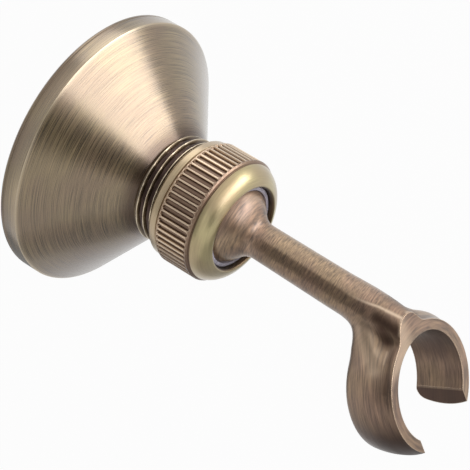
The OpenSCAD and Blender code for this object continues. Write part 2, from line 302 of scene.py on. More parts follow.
def slot_shape(r, t, angles):
    radius = np.full(len(angles), float(r))
    deep, bright = np.zeros(len(angles)), np.zeros(len(angles))
    if GRIP_START - 0.1 < t < GRIP_END and r > GRIP_R - 0.4:
        pitch = math.tau / GROOVES
        across = ((angles / pitch) % 1 - 0.5) * pitch * GRIP_R
        along = t - np.clip(t, SLOT_FIRST, SLOT_LAST)
        inside = np.hypot(across, along) - GROOVE_W / 2
        sink = np.clip((0.03 - inside) / 0.14, 0, 1)
        sink = sink * sink * (3 - 2 * sink)
        radius = r - GROOVE_DEPTH * sink * (1 - 0.12 * (across / GROOVE_W * 2) ** 2)
        # Painted shade: the lower side of the band is darker, and so is its front step.
        low = 0.75 * steps(-np.sin(angles), -0.15, 0.5)
        front = 0.3 * steps(t, GRIP_END - 0.42, GRIP_END - 0.34)
        # Slots darken, most along their walls as painted shade; their floors keep a brown patina.
        deep = np.maximum(sink * (0.36 + 0.64 * np.exp(-((inside + 0.1) / 0.14) ** 2)), np.maximum(low, front))
        # The ridges between the slots are lightened, partly as wear and partly as a painted highlight that fades on
        # the lower side and towards the rear.
        outside = (0.15 - 0.08 * steps(t, SLOT_LAST, SLOT_LAST + 0.3)) * (1 - 0.5 * low)
        bright = np.exp(-((inside - 0.03) / np.where(inside > 0.03, outside, 0.06)) ** 2)
        bright *= (1 - low) * (0.5 + 0.5 * steps(t, SLOT_FIRST - 0.5, SLOT_FIRST + 0.2))
    elif GRIP_END - 0.3 < t < NOSE_T0 - 0.05 and r > NOSE_R0 - 0.7:
        # Painted shade in the groove before the nose.
        deep = np.full(len(angles), 0.5)
    elif r < LIP_R - 0.2 and t > NUT_SHOULDER - 0.2:
        # Painted shade on the inside of the mouth.
        deep = np.full(len(angles), 0.75)
    return radius, deep, bright


slot_columns = []
for k in range(GROOVES):
    for step in (-0.125, -0.045, 0.015, 0.075, 0.145):
        slot_columns += [((k + 0.5) * math.tau / GROOVES) + side * (GROOVE_W / 2 - step) / GRIP_R for side in (-1, 1)]
    slot_columns += [(k + 0.5) * math.tau / GROOVES, (k + 1) * math.tau / GROOVES]
slot_columns.sort()

# %% Nut mesh
NOSE_ARC_R = 4.9
nose_chord = math.hypot(NOSE_R0 - LIP_R, NUT_FRONT - NOSE_T0)
nose_mid = math.atan2(NOSE_R0 - LIP_R, NUT_FRONT - NOSE_T0)
nose_half = math.asin(nose_chord / 2 / NOSE_ARC_R)
nose_in = math.sqrt(NOSE_ARC_R ** 2 - (nose_chord / 2) ** 2)
nose_r = (NOSE_R0 + LIP_R) / 2 - nose_in * math.cos(nose_mid)
nose_t = (NUT_FRONT + NOSE_T0) / 2 - nose_in * math.sin(nose_mid)
nose = [(nose_r + NOSE_ARC_R * math.cos(q), nose_t + NOSE_ARC_R * math.sin(q))
        for q in np.linspace(nose_mid - nose_half, nose_mid + nose_half, 13)]
lip = [(LIP_R + 0.45 * math.cos(q), NUT_FRONT - 0.45 + 0.45 * math.sin(q))
       for q in np.linspace(math.radians(105), math.pi, 6)]
slot_ts = np.concatenate([np.arange(SLOT_FIRST - GROOVE_W / 2 - 0.09, SLOT_FIRST + 0.05, 0.055),
                          np.linspace(SLOT_FIRST + 0.5, SLOT_LAST - 0.5, 5),
                          np.arange(SLOT_LAST - 0.02, SLOT_LAST + GROOVE_W / 2 + 0.1, 0.055)])
nut_rows = rounded([
    (THREAD_R + 0.05, NUT_REAR + 0.4), (THREAD_R + 0.45, NUT_REAR, 0.1), (GRIP_R - 0.95, NUT_REAR, 0.1),
    (GRIP_R - 0.5, NUT_REAR + 0.55, 0.5), (GRIP_R - 0.5, GRIP_START - 0.5, 0.12),
    (GRIP_R - 0.85, GRIP_START - 0.25, 0.08), (GRIP_R - 0.3, GRIP_START - 0.02, 0.08), (GRIP_R, GRIP_START + 0.22)])
nut_rows += [(GRIP_R, float(t)) for t in slot_ts] + rounded([
    (GRIP_R, GRIP_END - 0.29), (GRIP_R - 0.3, GRIP_END - 0.03, 0.08), (GRIP_R - 0.65, GRIP_END + 0.11, 0.08),
    (NOSE_R0 - 0.15, GRIP_END + 0.26, 0.08), nose[0]])
nut_rows += nose[1:] + lip + rounded([
    (MOUTH_R, NUT_FRONT - 0.6), (MOUTH_R, NUT_SHOULDER, 0.1), (NUT_ROOM_R, NUT_SHOULDER, 0.1),
    (NUT_ROOM_R, NECK_END + 0.3, 0.1), (THREAD_R + 0.05, NECK_END + 0.3)])
nut = turned_piece("clamping_nut", nut_rows, np.array(slot_columns), slot_shape)
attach(nut, "nut")
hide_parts("knurled_nut")

# %% [markdown]
# ## The arm
#
# Ball, arm and cradle are one forging. Its soft forms flow into each other, then three machine cuts
# give crisp edges: the flat front face, the straight bore and the parallel mouth for the hose. The
# mesh is made in the same order. Simple closed bodies are joined, a voxel remesh fuses them into one
# skin, smoothing melts the creases as a forging die would, and booleans make the three cuts last.

# %% Places along the arm
def turn(axis, degrees):
    return np.array(Matrix.Rotation(math.radians(degrees), 3, Vector(axis)))


CRADLE_DROP = (BORE_R + ARM_HIGH) * math.cos(math.radians(CRADLE_ANGLE))
CRADLE_ALONG = ARM_LEN + CRADLE_DROP * math.tan(math.radians(CRADLE_ANGLE))
out_turn = turn((1, 0, 0), 90)
lean = (math.cos(math.radians(LEAN_AXIS)), math.sin(math.radians(LEAN_AXIS)), 0)
arm_turn = out_turn @ turn(lean, ARM_TILT) @ turn((0, 0, 1), ARM_ROLL)
arm_origin = np.array((0, -BALL_T, 0.0))
cradle_turn = arm_turn @ turn((1, 0, 0), -CRADLE_ANGLE)
cradle_origin = arm_origin + arm_turn @ np.array((0, -CRADLE_DROP, CRADLE_ALONG))


def placed(rotation, origin):
    matrix = Matrix(rotation.tolist()).to_4x4()
    matrix.translation = Vector(origin)
    return matrix


in_arm, in_cradle = placed(arm_turn, arm_origin), placed(cradle_turn, cradle_origin)
print("cradle front face centre, mm:", [round(v, 2) for v in cradle_origin])

# %% Bodies of the forging
def add_turned(work, rows, columns, matrix):
    """A closed turned body round the local Z axis, from rows of (r, z); the first and last r are 0."""
    rings = []
    for r, z in rows:
        if r < 1e-6:
            rings.append([work.verts.new(matrix @ Vector((0, 0, z)))])
        else:
            rings.append([work.verts.new(matrix @ Vector((r * math.cos(k * math.tau / columns),
                                                          r * math.sin(k * math.tau / columns), z)))
                          for k in range(columns)])
    for p, q in zip(rings, rings[1:]):
        for k in range(columns):
            m = (k + 1) % columns
            corners = [p[k % len(p)], p[m % len(p)], q[m % len(q)], q[k % len(q)]]
            work.faces.new([v for i, v in enumerate(corners) if v not in corners[:i]])


def arc_points(cx, cy, r, start, end, steps):
    return [(cx + r * math.cos(math.radians(start + (end - start) * i / steps)),
             cy + r * math.sin(math.radians(start + (end - start) * i / steps))) for i in range(steps + 1)]


def add_loft(work, rings, matrix):
    """A closed tube through rings of points, with a flat cap at each end."""
    made = [[work.verts.new(matrix @ Vector(p)) for p in ring] for ring in rings]
    n = len(made[0])
    for p, q in zip(made, made[1:]):
        for k in range(n):
            work.faces.new((p[k], p[(k + 1) % n], q[(k + 1) % n], q[k]))
    work.faces.new(made[0])
    work.faces.new(list(reversed(made[-1])))


def shoulder_rings(side):
    """The path and sections by which the arm runs into one limb of the cradle, in the cradle's axes."""
    sa, ca = math.sin(math.radians(CRADLE_ANGLE)), math.cos(math.radians(CRADLE_ANGLE))
    limb = math.radians(SHOULDER_TURN)
    middle = BORE_R + 1.45
    s0 = ARM_LEN - 14.3
    p0 = np.array((0, CRADLE_DROP * ca - (s0 - CRADLE_ALONG) * sa, CRADLE_DROP * sa + (s0 - CRADLE_ALONG) * ca))
    p3 = np.array((side * middle * math.sin(limb), middle * math.cos(limb), -CRADLE_W / 2 - 0.15))
    p1 = p0 + SHOULDER_PULL * np.array((0, -sa, ca))
    p2 = p3 - SHOULDER_PULL * np.array((side * math.cos(limb), -math.sin(limb), 0))
    rings = []
    for i in range(25):
        t = i / 24
        u = 1 - t
        centre = u ** 3 * p0 + 3 * u * u * t * p1 + 3 * u * t * t * p2 + t ** 3 * p3
        along = 3 * u * u * (p1 - p0) + 6 * u * t * (p2 - p1) + 3 * t * t * (p3 - p2)
        along /= np.linalg.norm(along)
        wide = np.array((0, 0, 1)) - along[2] * along
        wide /= np.linalg.norm(wide)
        thin = np.cross(along, wide)
        ease = t * t * (3 - 2 * t)
        held_back = SHOULDER_HOLLOW * math.sin(math.pi * t) ** 2 / 2
        ra = 3.5 * (1 - ease) + (CRADLE_W / 2 - 0.1) * ease - held_back
        rb = 3.5 * (1 - ease) + 1.25 * ease + 0.3 * math.sin(math.pi * t)
        rings.append([centre + (ra * math.cos(q) - held_back) * wide + rb * math.sin(q) * thin
                      for q in np.linspace(0, math.tau, 36, endpoint=False)])
    return rings


# %% Join the bodies
work = bmesh.new()
fillet_z = math.sqrt((BALL_R + BALL_FILLET) ** 2 - (ARM_R_BALL + BALL_FILLET) ** 2)
fillet_a = math.degrees(math.atan2(ARM_R_BALL + BALL_FILLET, fillet_z))
z1 = ARM_LEN - 12.8
shank = [(0, -BALL_R)] + arc_points(0, 0, BALL_R, -89, 90 - fillet_a, 40)
shank += arc_points(ARM_R_BALL + BALL_FILLET, fillet_z, BALL_FILLET, 270 - fillet_a, 180, 14)[1:]
shank += [(ARM_R_BALL + 0.15, fillet_z + 0.55 * (z1 - fillet_z)),
          (ARM_R_BALL * 0.55 + ARM_R_CRADLE * 0.45, fillet_z + 0.8 * (z1 - fillet_z)),
          (ARM_R_CRADLE - 0.05, z1), (ARM_R_CRADLE, z1 + 2), (ARM_R_CRADLE - 0.05, z1 + 5),
          (ARM_R_CRADLE - 0.3, z1 + 9), (ARM_R_CRADLE - 0.5, z1 + 24), (0, z1 + 24)]
add_turned(work, shank, 96, in_arm)

crown_r = BORE_R + CRADLE_WALL + CROWN_H
crown_z = -CRADLE_W * 0.5
crown_arc = (crown_z ** 2 + CROWN_H ** 2) / (2 * CROWN_H)
crown_a0 = math.degrees(math.asin(-crown_z / crown_arc))
back_z = -CRADLE_W - BACK_BULGE + BACK_ROUND
crown_a1 = math.degrees(math.asin((back_z - crown_z) / crown_arc))
back_r = crown_r - crown_arc + (crown_arc - BACK_ROUND) * math.cos(math.radians(crown_a1))
back_z -= BACK_ROUND * math.sin(math.radians(crown_a1))
ring = [(0, 2.2), (BORE_R + CRADLE_WALL - 0.05, 2.2), (BORE_R + CRADLE_WALL, 0.2)]
ring += arc_points(crown_r - crown_arc, crown_z, crown_arc, crown_a0, crown_a1, 20)
ring += arc_points(back_r, back_z, BACK_ROUND, crown_a1, -90, 10)[1:]
ring += [(BORE_R + 0.35, -CRADLE_W - 0.4), (BORE_R, -CRADLE_W), (0, -CRADLE_W)]
add_turned(work, ring, 160, in_cradle)
swell = [(0, crown_z + 4.2)] + arc_points(crown_r - 4.2, crown_z + 1.18, 4.2, 56, -56, 16) + [(0, crown_z - 2.9)]
beside_arm = Vector((math.sin(math.radians(48)), math.cos(math.radians(48)), 0)) * CROWN_SHIFT
add_turned(work, swell, 160, in_cradle @ Matrix.Translation(beside_arm))
for side in (-1, 1):
    add_loft(work, shoulder_rings(side), in_cradle)
bmesh.ops.recalc_face_normals(work, faces=work.faces)
forging_mesh = bpy.data.meshes.new("cradle_arm")
work.to_mesh(forging_mesh)
work.free()
arm = bpy.data.objects.new("cradle_arm", forging_mesh)
bpy.context.scene.collection.objects.link(arm)

# %% Fuse and smooth the skin
VOXEL = 0.26
fuse = arm.modifiers.new("fuse", "REMESH")
fuse.mode, fuse.voxel_size = "VOXEL", VOXEL
settle(arm)


def smooth_skin(mesh, passes, weight):
    """Moves each point towards the middle of its neighbours, by a weight for each point."""
    points = np.zeros(len(mesh.vertices) * 3)
    mesh.vertices.foreach_get("co", points)
    points = points.reshape(-1, 3)
    edges = np.zeros(len(mesh.edges) * 2, int)
    mesh.edges.foreach_get("vertices", edges)
    edges = edges.reshape(-1, 2)
    count = np.bincount(edges.ravel(), minlength=len(points))[:, None]
    share = weight(points)[:, None]
    for _ in range(passes):
        total = np.zeros_like(points)
        for axis in range(3):
            total[:, axis] = (np.bincount(edges[:, 0], points[edges[:, 1], axis], len(points))
                              + np.bincount(edges[:, 1], points[edges[:, 0], axis], len(points)))
        points += (total / count - points) * share * 0.5
    mesh.vertices.foreach_set("co", points.ravel())
    mesh.update()


def near_shoulder(points):
    local = (points - cradle_origin) @ cradle_turn
    middle = np.array((0, BORE_R + 3.5, -CRADLE_W * 0.75))
    reach = np.linalg.norm(local - middle, axis=1)
    return 0.12 + 0.88 * np.clip(1 - (reach - 8) / 8, 0, 1)


def near_notches(points):
    local = (points - cradle_origin) @ cradle_turn
    gap = [np.hypot(local[:, 0] - side * 4.4, local[:, 1] - 13.4) for side in (-1, 1)]
    beyond = np.clip(-2.5 - local[:, 2], 0, None)
    return np.clip(1.6 - np.hypot(np.minimum(*gap), beyond) / 2.4, 0, 1)


def near_crook(points):
    """The inner corner behind each shoulder, where the arm's underside runs into the cradle."""
    local = (points - cradle_origin) @ cradle_turn
    local[:, 0] = np.abs(local[:, 0])
    return np.clip(1.5 - np.linalg.norm(local - (3.8, 17.2, -12.4), axis=1) / 3.4, 0, 1)


smooth_skin(arm.data, 30, near_shoulder)
smooth_skin(arm.data, 170, near_crook)
smooth_skin(arm.data, 90, near_notches)
print("forging skin points:", len(arm.data.vertices))

# %% Machine cuts
def box_tool(name, low, high, matrix):
    work = bmesh.new()
    bmesh.ops.create_cube(work, size=1)
    low, high = Vector(low), Vector(high)
    for v in work.verts:
        v.co = matrix @ Vector(((v.co[i] + 0.5) * (high[i] - low[i]) + low[i]) for i in range(3))
    bmesh.ops.recalc_face_normals(work, faces=work.faces)
    mesh = bpy.data.meshes.new(name)
    work.to_mesh(mesh)
    work.free()
    tool = bpy.data.objects.new(name, mesh)
    bpy.context.scene.collection.objects.link(tool)
    return tool


def bore_tool(name, radius, low, high, matrix, columns=192):
    work = bmesh.new()
    add_turned(work, [(0, low), (radius, low), (radius, high), (0, high)], columns, matrix)
    bmesh.ops.recalc_face_normals(work, faces=work.faces)
    mesh = bpy.data.meshes.new(name)
    work.to_mesh(mesh)
    work.free()
    tool = bpy.data.objects.new(name, mesh)
    bpy.context.scene.collection.objects.link(tool)
    return tool


tools = [
    box_tool("face_cut", (-40, -40, 0), (40, 40, 40), in_cradle),
    bore_tool("bore_cut", BORE_R, -30, 30, in_cradle),
    box_tool("mouth_cut", (-MOUTH_W / 2, -40, -30), (MOUTH_W / 2, 0, 30), in_cradle)]
for tool in tools:
    cut = arm.modifiers.new(tool.name, "BOOLEAN")
    cut.object, cut.operation, cut.solver = tool, "DIFFERENCE", "EXACT"
settle(arm)
for tool in tools:
    bpy.data.objects.remove(tool)
arm_mesh = arm.data
bpy.data.objects.remove(arm)
arm = finish_piece("cradle_arm", arm_mesh, sharp=38)

# %% Painted shade and painted highlights of the forging, with some patina
def capsule(points, start, end, radius):
    """1 on the line from start to end, falling off smoothly with the distance."""
    start, end = np.array(start, float), np.array(end, float)
    share = np.clip((points - start) @ (end - start) / ((end - start) @ (end - start)), 0, 1)
    gap = np.linalg.norm(points - start - share[:, None] * (end - start), axis=1)
    return np.exp(-(gap / radius) ** 2)


def wear_forging(mesh):
    """Two tints for each mesh point: one darkens, mostly as painted shade; one lightens, as painted highlights."""
    points = np.zeros(len(mesh.vertices) * 3)
    mesh.vertices.foreach_get("co", points)
    points = points.reshape(-1, 3) / MM
    in_a = (points - arm_origin) @ arm_turn
    in_c = (points - cradle_origin) @ cradle_turn
    left = in_c[:, 0] < 0
    in_c[:, 0] = np.abs(in_c[:, 0])
    along = in_a[:, 2]
    across = in_a[:, :2] @ np.array(UPPER_SIDE) / np.maximum(np.linalg.norm(in_a[:, :2], axis=1), 1)
    # Painted shade: below a border that follows the arm, its underside is darker.
    border = np.interp(along, (0, 32.4, 34.7, 36.8, 38.7, 41.3, 43.1), (0.06, 0.05, 0.11, 0.2, 0.31, 0.37, 0.5))
    shank = steps(along, 9.5, 12.5) * steps(along, 43, 38)
    under = steps(across, border + 0.07, border - 0.07) * shank
    # Painted highlight along the crease of the arm's upper side, and on a short ridge of the left shoulder.
    crease_highlight = np.exp(-((across - border) / 0.055) ** 2) * steps(along, 30, 40) * steps(along, 42.2, 41)
    crease_highlight = np.maximum(crease_highlight, left * capsule(in_c, (1.5, 19.3, -2.9), (1.0, 17.3, -0.2), 0.34))
    # Painted shade in the hollow side of each shoulder and below it.
    deep = 0.9 * capsule(in_c, (3.4, 18.6, -4.2), (3.3, 15.4, -0.4), 2.1)
    below = 0.95 * capsule(in_c, (4.2, 16.6, -3.6), (4.9, 14.0, -2.6), 2.3)
    # A darker strip runs along each limb beside the front face.
    strip = np.max([0.7 * capsule(in_c, (4.6, 13.5, -0.8), (8.1, 11.3, -1.2), 0.9),
                    0.65 * capsule(in_c, (8.1, 11.3, -1.2), (12.3, 6.8, -1.4), 0.9),
                    0.4 * capsule(in_c, (12.3, 6.8, -1.4), (14, 1.2, -1), 1.2)], axis=0)
    # Painted shade: the limbs grow darker towards the cradle's tips.
    tip = (0.3 + 0.65 * steps(in_c[:, 1], 7, -5)) * steps(in_c[:, 1], 13, 9) * (along > 30)
    # The ball: a light even patina, with painted shade on its lower side and in a patch at its neck.
    ball = steps(along, 11, 8.5) * (0.12 + 0.38 * np.exp(-((across + 0.14) / 0.25) ** 2)
                                    + 0.25 * steps(across, 0.7, 0.85) * steps(along, 6.4, 7.4))
    # Painted highlights on the limbs: they lift the darkening there and lighten the left limb.
    shine = np.maximum(0.35 * capsule(in_c, (5.0, 17.0, -7.6), (8.6, 12.6, -5.2), 1.8),
                       0.42 * capsule(in_c, (7.6, 13.0, -4.6), (9.6, 10.6, -4.2), 1.5))
    hollow = np.max([0.42 * under, deep, below, strip, tip, ball], axis=0) * (1 - shine)
    # Painted highlights: at the front corner of the arm, along a fold of the shoulder and on the ball's upper side.
    corner = 0.8 * capsule(in_c, (0.9, 17.6, -0.1), (3.6, 14.9, 0), 0.35)
    seam = 0.3 * capsule(in_c, (6.5, 12.8, -2.3), (8.6, 11.4, -2.3), 0.3)
    crown = 0.3 * steps(across, 0.4, 0.9) * steps(along, 7, 4.8)
    wear_and_highlight = np.max([0.9 * crease_highlight, shine * left, corner, seam, crown], axis=0)
    for label, values in (("hollow", hollow * (1 - 0.9 * crease_highlight)), ("wear_and_highlight", wear_and_highlight)):
        layer = mesh.attributes.new(label, "FLOAT", "POINT")
        layer.data.foreach_set("value", values.astype(np.float32))
    return float(hollow.mean())


UPPER_SIDE = (0.755, 0.656)
print("mean darkening of the forging:", round(wear_forging(arm.data), 3))
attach(arm, "arm")
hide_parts("ball_arm")

# %% [markdown]
# ## Brushed metal as a node group
#
# Brushing leaves fine parallel lines. On a turned piece they run round the axis, so they change fast
# along the profile and only slowly with the angle. The group takes a position whose Z is the axis. It
# feeds noise with (cos, sin) of the angle, which has no seam, and with a stretched coordinate along
# the profile. It puts out fine lines, wide streaks and cloudy patches, all as plain values.

# %% Helpers for shader nodes
def node(tree, kind, inputs=None, **settings):
    made = tree.nodes.new(kind)
    for key, value in settings.items():
        setattr(made, key, value)
    for key, value in (inputs or {}).items():
        if isinstance(value, bpy.types.NodeSocket):
            tree.links.new(value, made.inputs[key])
        else:
            made.inputs[key].default_value = value
    return made


def maths(tree, operation, a, b=0.0, clamp=False):
    return node(tree, "ShaderNodeMath", {0: a, 1: b}, operation=operation, use_clamp=clamp).outputs[0]


def ramp(tree, value, low, high, to_low=0.0, to_high=1.0, smooth=True):
    return node(tree, "ShaderNodeMapRange", {"Value": value, "From Min": low, "From Max": high,
                                             "To Min": to_low, "To Max": to_high},
                interpolation_type="SMOOTHSTEP" if smooth else "LINEAR").outputs[0]


def mix_colour(tree, share, a, b, blend="MIX"):
    made = tree.nodes.new("ShaderNodeMix")
    made.data_type, made.blend_type = "RGBA", blend
    for socket, value in ((made.inputs[0], share), (made.inputs[6], a), (made.inputs[7], b)):
        if isinstance(value, bpy.types.NodeSocket):
            tree.links.new(value, socket)
        else:
            socket.default_value = value
    return made.outputs[2]


def linear(red, green, blue):
    """A colour read from the photograph, 0 to 255, as the linear values that a socket takes."""
    values = [v / 255 for v in (red, green, blue)]
    return tuple(v / 12.92 if v <= 0.04045 else ((v + 0.055) / 1.055) ** 2.4 for v in values) + (1,)


def new_group(name, inputs, outputs):
    tree = bpy.data.node_groups.new(name, "ShaderNodeTree")
    for label, kind, value in inputs:
        socket = tree.interface.new_socket(label, in_out="INPUT", socket_type=kind)
        if value is not None:
            socket.default_value = value
    for label, kind in outputs:
        tree.interface.new_socket(label, in_out="OUTPUT", socket_type=kind)
    return tree, tree.nodes.new("NodeGroupInput"), tree.nodes.new("NodeGroupOutput")


# %% Group: brushed lines round an axis
def build_brushed_lines():
    tree, start, end = new_group(
        "brushed_lines",
        [("Position", "NodeSocketVector", None), ("Lines per mm", "NodeSocketFloat", 3.0),
         ("Sweep", "NodeSocketFloat", 1.2), ("Radial share", "NodeSocketFloat", -0.8)],
        [("Lines", "NodeSocketFloat"), ("Streaks", "NodeSocketFloat"), ("Clouds", "NodeSocketFloat")])
    parts = node(tree, "ShaderNodeSeparateXYZ", {0: start.outputs["Position"]})
    x, y, z = parts.outputs
    radius = maths(tree, "SQRT", maths(tree, "ADD", maths(tree, "MULTIPLY", x, x), maths(tree, "MULTIPLY", y, y)))
    safe = maths(tree, "ADD", radius, 1e-5)
    sweep = start.outputs["Sweep"]
    u = maths(tree, "MULTIPLY", maths(tree, "DIVIDE", x, safe), sweep)
    v = maths(tree, "MULTIPLY", maths(tree, "DIVIDE", y, safe), sweep)
    profile = maths(tree, "ADD", z, maths(tree, "MULTIPLY", radius, start.outputs["Radial share"]))
    density = maths(tree, "MULTIPLY", start.outputs["Lines per mm"], 1000.0)
    fine = maths(tree, "MULTIPLY", profile, density)
    fine_at = node(tree, "ShaderNodeCombineXYZ", {0: maths(tree, "MULTIPLY", u, 1.5),
                                                  1: maths(tree, "MULTIPLY", v, 1.5), 2: fine})
    wide_at = node(tree, "ShaderNodeCombineXYZ", {0: u, 1: v, 2: maths(tree, "MULTIPLY", fine, 0.12)})
    lines = node(tree, "ShaderNodeTexNoise", {"Vector": fine_at.outputs[0], "Scale": 1.0, "Detail": 3.0,
                                              "Roughness": 0.62})
    streaks = node(tree, "ShaderNodeTexNoise", {"Vector": wide_at.outputs[0], "Scale": 1.0, "Detail": 2.0})
    clouds = node(tree, "ShaderNodeTexNoise", {"Vector": start.outputs["Position"], "Scale": 95.0, "Detail": 2.0})
    tree.links.new(lines.outputs[0], end.inputs["Lines"])
    tree.links.new(streaks.outputs[0], end.inputs["Streaks"])
    tree.links.new(clouds.outputs[0], end.inputs["Clouds"])
    return tree


brushed_lines = build_brushed_lines()
print("group", brushed_lines.name, "made")

# %% [markdown]
# ## Edge wear as a node group
#
# Bronzed brass is darkened chemically and then brushed, which rubs the dark layer off the edges. The
# Bevel node returns the normal that a rounded edge would have. Where it differs from the true normal
# there is an edge, so their difference is a mask that needs no extra geometry.

# %% Group: rubbed edges
def build_rubbed_edges():
    tree, start, end = new_group("rubbed_edges", [("Width mm", "NodeSocketFloat", 0.25)],
                                 [("Mask", "NodeSocketFloat"), ("Normal", "NodeSocketVector")])
    bevel = node(tree, "ShaderNodeBevel", {"Radius": maths(tree, "MULTIPLY", start.outputs[0], 0.001)}, samples=6)
    flat = node(tree, "ShaderNodeNewGeometry")
    same = node(tree, "ShaderNodeVectorMath", {0: bevel.outputs[0], 1: flat.outputs["Normal"]},
                operation="DOT_PRODUCT")
    tree.links.new(ramp(tree, same.outputs["Value"], 0.995, 0.9), end.inputs["Mask"])
    tree.links.new(bevel.outputs[0], end.inputs["Normal"])
    return tree


rubbed_edges = build_rubbed_edges()


# %% [markdown]
# ## Bronzed brass as a node group
#
# Three tones make the antique finish: the metal's own yellow, a red-brown bronzing that sits in
# streaks, and a near-black, laid as patina in the hollows and as painted shade. The group mixes them
# from the line, streak and cloud values, then lifts rubbed edges and painted highlights with the Edge
# colour. Colours are written as they look under plain light.

# %% Group: bronzed tone
def build_bronzed_tone():
    tree, start, end = new_group(
        "bronzed_tone",
        [("Metal", "NodeSocketColor", (0.5, 0.4, 0.2, 1)), ("Bronze", "NodeSocketColor", (0.3, 0.2, 0.1, 1)),
         ("Dark", "NodeSocketColor", (0.02, 0.01, 0.01, 1)), ("Edge", "NodeSocketColor", (0.8, 0.7, 0.5, 1)),
         ("Lines", "NodeSocketFloat", 0.5), ("Streaks", "NodeSocketFloat", 0.5),
         ("Clouds", "NodeSocketFloat", 0.5), ("Line contrast", "NodeSocketFloat", 0.3),
         ("Patina and shade", "NodeSocketFloat", 0.0), ("Wear and highlight", "NodeSocketFloat", 0.0)],
        [("Color", "NodeSocketColor"), ("Height", "NodeSocketFloat")])
    put = start.outputs
    patch = maths(tree, "ADD", maths(tree, "MULTIPLY", put["Streaks"], 0.15), maths(tree, "MULTIPLY", put["Clouds"], 0.85))
    tone = mix_colour(tree, ramp(tree, patch, 0.36, 0.62), put["Metal"], put["Bronze"])
    shade = maths(tree, "ADD", 1.0, maths(tree, "MULTIPLY", maths(tree, "SUBTRACT", put["Lines"], 0.5),
                                          put["Line contrast"]))
    grey = node(tree, "ShaderNodeCombineColor", {0: shade, 1: shade, 2: shade})
    tone = mix_colour(tree, 1.0, tone, grey.outputs[0], "MULTIPLY")
    # Dark goes where there is patina and painted shade, Edge where there is wear and painted highlight.
    tone = mix_colour(tree, put["Patina and shade"], tone, put["Dark"])
    tone = mix_colour(tree, put["Wear and highlight"], tone, put["Edge"])
    tree.links.new(tone, end.inputs["Color"])
    tree.links.new(put["Lines"], end.inputs["Height"])
    return tree


bronzed_tone = build_bronzed_tone()


# %% Material maker for the brushed brasses
def group(tree, which, inputs):
    made = tree.nodes.new("ShaderNodeGroup")
    made.node_tree = which
    for key, value in inputs.items():
        if isinstance(value, bpy.types.NodeSocket):
            tree.links.new(value, made.inputs[key])
        else:
            made.inputs[key].default_value = value
    return made


def new_material(name, roughness, metallic=1.0, **sockets):
    material = bpy.data.materials.new(name)
    material.use_nodes = True
    tree = material.node_tree
    shader = tree.nodes["Principled BSDF"]
    shader.inputs["Metallic"].default_value = metallic
    shader.inputs["Roughness"].default_value = roughness
    for key, value in sockets.items():
        shader.inputs[key.replace("_", " ")].default_value = value
    return material, tree, shader


def about_axis(tree, origin, rotation):
    """Object position in axes whose Z is the turning axis: p' = R^T (p - origin)."""
    back_turn = Matrix(rotation.tolist()).transposed()
    shift = -(back_turn @ Vector(origin)) * MM
    place = node(tree, "ShaderNodeTexCoord")
    moved = node(tree, "ShaderNodeMapping", {"Vector": place.outputs["Object"]}, vector_type="POINT")
    moved.inputs["Location"].default_value = shift
    moved.inputs["Rotation"].default_value = back_turn.to_euler("XYZ")
    return moved.outputs[0]


def dress(piece, material):
    piece.data.materials.clear()
    piece.data.materials.append(material)


# %% [markdown]
# ## Finish of the rose
#
# The rose is brushed while it turns, so its light gathers in wedges from the rim to the neck. Such
# metal spreads a reflection across the lines more than along them, which Anisotropic does, with a
# tangent that runs round the axis. A thin lacquer lies over it, and Coat gives it a soft white sheen.

# %% Rose material
def make_rose_material():
    material, tree, shader = new_material("antique_brass_turned", 0.34, Anisotropic=0.75, Anisotropic_Rotation=0.25,
                                          Coat_Roughness=0.22, Coat_IOR=1.6)
    place = about_axis(tree, (0, 0, 0), out_turn)
    lines = group(tree, brushed_lines, {"Position": place, "Lines per mm": 6.0, "Sweep": 1.5})
    hollow = node(tree, "ShaderNodeAttribute", attribute_name="hollow").outputs["Fac"]
    wear_and_highlight = node(tree, "ShaderNodeAttribute", attribute_name="wear_and_highlight").outputs["Fac"]
    # Dark goes on the painted shade in the thread roots and under the cone, and on patina with painted shade next to
    # the neck; Edge goes on the painted highlights of the crests and the rim's edge.
    tone = group(tree, bronzed_tone, {
        "Metal": linear(128, 111, 83), "Bronze": linear(123, 104, 81), "Dark": linear(54, 32, 26),
        "Edge": linear(226, 208, 178), "Lines": lines.outputs["Lines"], "Streaks": lines.outputs["Streaks"],
        "Clouds": lines.outputs["Clouds"], "Line contrast": 3.0,
        "Patina and shade": hollow, "Wear and highlight": wear_and_highlight})
    tree.links.new(tone.outputs["Color"], shader.inputs["Base Color"])
    tree.links.new(ramp(tree, lines.outputs["Lines"], 0.35, 0.65, 0.25, 0.345), shader.inputs["Roughness"])
    tree.links.new(ramp(tree, hollow, 0, 1, 1, 0.35, smooth=False), shader.inputs["Coat Weight"])
    bump = node(tree, "ShaderNodeBump", {"Height": tone.outputs["Height"], "Strength": 0.5, "Distance": 2e-5})
    tree.links.new(bump.outputs[0], shader.inputs["Normal"])
    tangent = node(tree, "ShaderNodeTangent", direction_type="RADIAL", axis="Y")
    tree.links.new(tangent.outputs[0], shader.inputs["Tangent"])
    return material


rose_material = make_rose_material()
dress(rose, rose_material)
